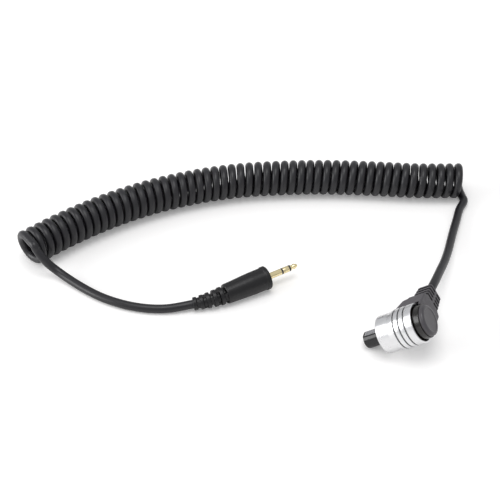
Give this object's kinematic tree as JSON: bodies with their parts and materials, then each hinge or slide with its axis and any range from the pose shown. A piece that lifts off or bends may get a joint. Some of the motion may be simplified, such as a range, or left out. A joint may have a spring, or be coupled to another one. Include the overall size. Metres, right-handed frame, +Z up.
{
  "type": "electronic cable shutter release",
  "caption": "Camera remote cord: keyed plug with pull-back lock collar and hinged claws, right-angle boot, left-hand curly cord and slim gold jack.",
  "frame": {"origin": "on the surface it lies on, below the middle of the camera plug's box (cord and jack left out)", "axes": "+Z up from that surface, +X to the right of the picture along the length of the curly cord, +Y away from the camera. The plug lies as in the picture: its nose tip on the surface, its axis rising 36.1 degrees towards the cap"},
  "size_m": [0.1871, 0.1139, 0.0226],
  "materials": {
    "plug_black": "glossy moulded black",
    "insert_black": "matt moulded black",
    "gold": "gold plated, polished",
    "steel": "bright drawn steel",
    "collar_metal": "fine bead-blasted, satin anodised",
    "barrel_gloss": "glossy moulded dark grey",
    "boot_rubber": "matt moulded rubber",
    "cord_rubber": "satin extruded jacket",
    "wire_red": "thin wire insulation",
    "mould_pale": "natural moulded resin",
    "grip_rubber": "satin overmoulded rubber"
  },
  "bodies": {
    "plug_body": {"nose_shell": "plug_black", "contact_insert": "insert_black", "contact_sockets": "gold", "claw_pivot_pins": "steel", "collar_spring": "steel", "collar_stop_ring": "steel", "inner_barrel": "barrel_gloss", "rear_cap": "boot_rubber", "elbow_boot": "boot_rubber", "cable_clamp": "steel", "head_conductors": "wire_red", "tail_cord_head": "cord_rubber", "coil_cord": "cord_rubber", "tail_cord_jack": "cord_rubber", "jack_tip": "gold", "jack_inner_insulator": "insert_black", "jack_ring": "gold", "jack_outer_insulator": "insert_black", "jack_sleeve": "gold", "jack_terminals": "gold", "jack_inner_mould": "mould_pale", "jack_grip": "grip_rubber", "jack_conductors": "wire_red"},
    "lock_collar": {"lock_collar": "collar_metal"},
    "claw_upper": {"latch_claw_upper": "plug_black"},
    "claw_lower": {"latch_claw_lower": "plug_black"}
  },
  "joints": [
    {"name": "collar_slide", "type": "slide", "parent": "plug_body", "child": "lock_collar", "axis": [0.7823, -0.2023, 0.5892], "range_m": [0, 0.001], "stiffness_N_per_m": 800, "springref_m": -0.0015, "deforming": ["collar_spring"]},
    {"name": "claw_upper_hinge", "type": "hinge", "parent": "plug_body", "child": "claw_upper", "pos_m": [-0.00685, -0.00446, 0.01238], "axis": [0.1997, 0.9773, 0.0704], "range_deg": [-3.5, 0]},
    {"name": "claw_lower_hinge", "type": "hinge", "parent": "plug_body", "child": "claw_lower", "pos_m": [-0.00153, -0.00502, 0.00514], "axis": [-0.1997, -0.9773, -0.0704], "range_deg": [-3.5, 0]}
  ],
  "couplings": [
    {"joint": "claw_upper_hinge", "follows": "collar_slide", "rad_per_m": -61.03},
    {"joint": "claw_lower_hinge", "follows": "collar_slide", "rad_per_m": -61.03}
  ]
}
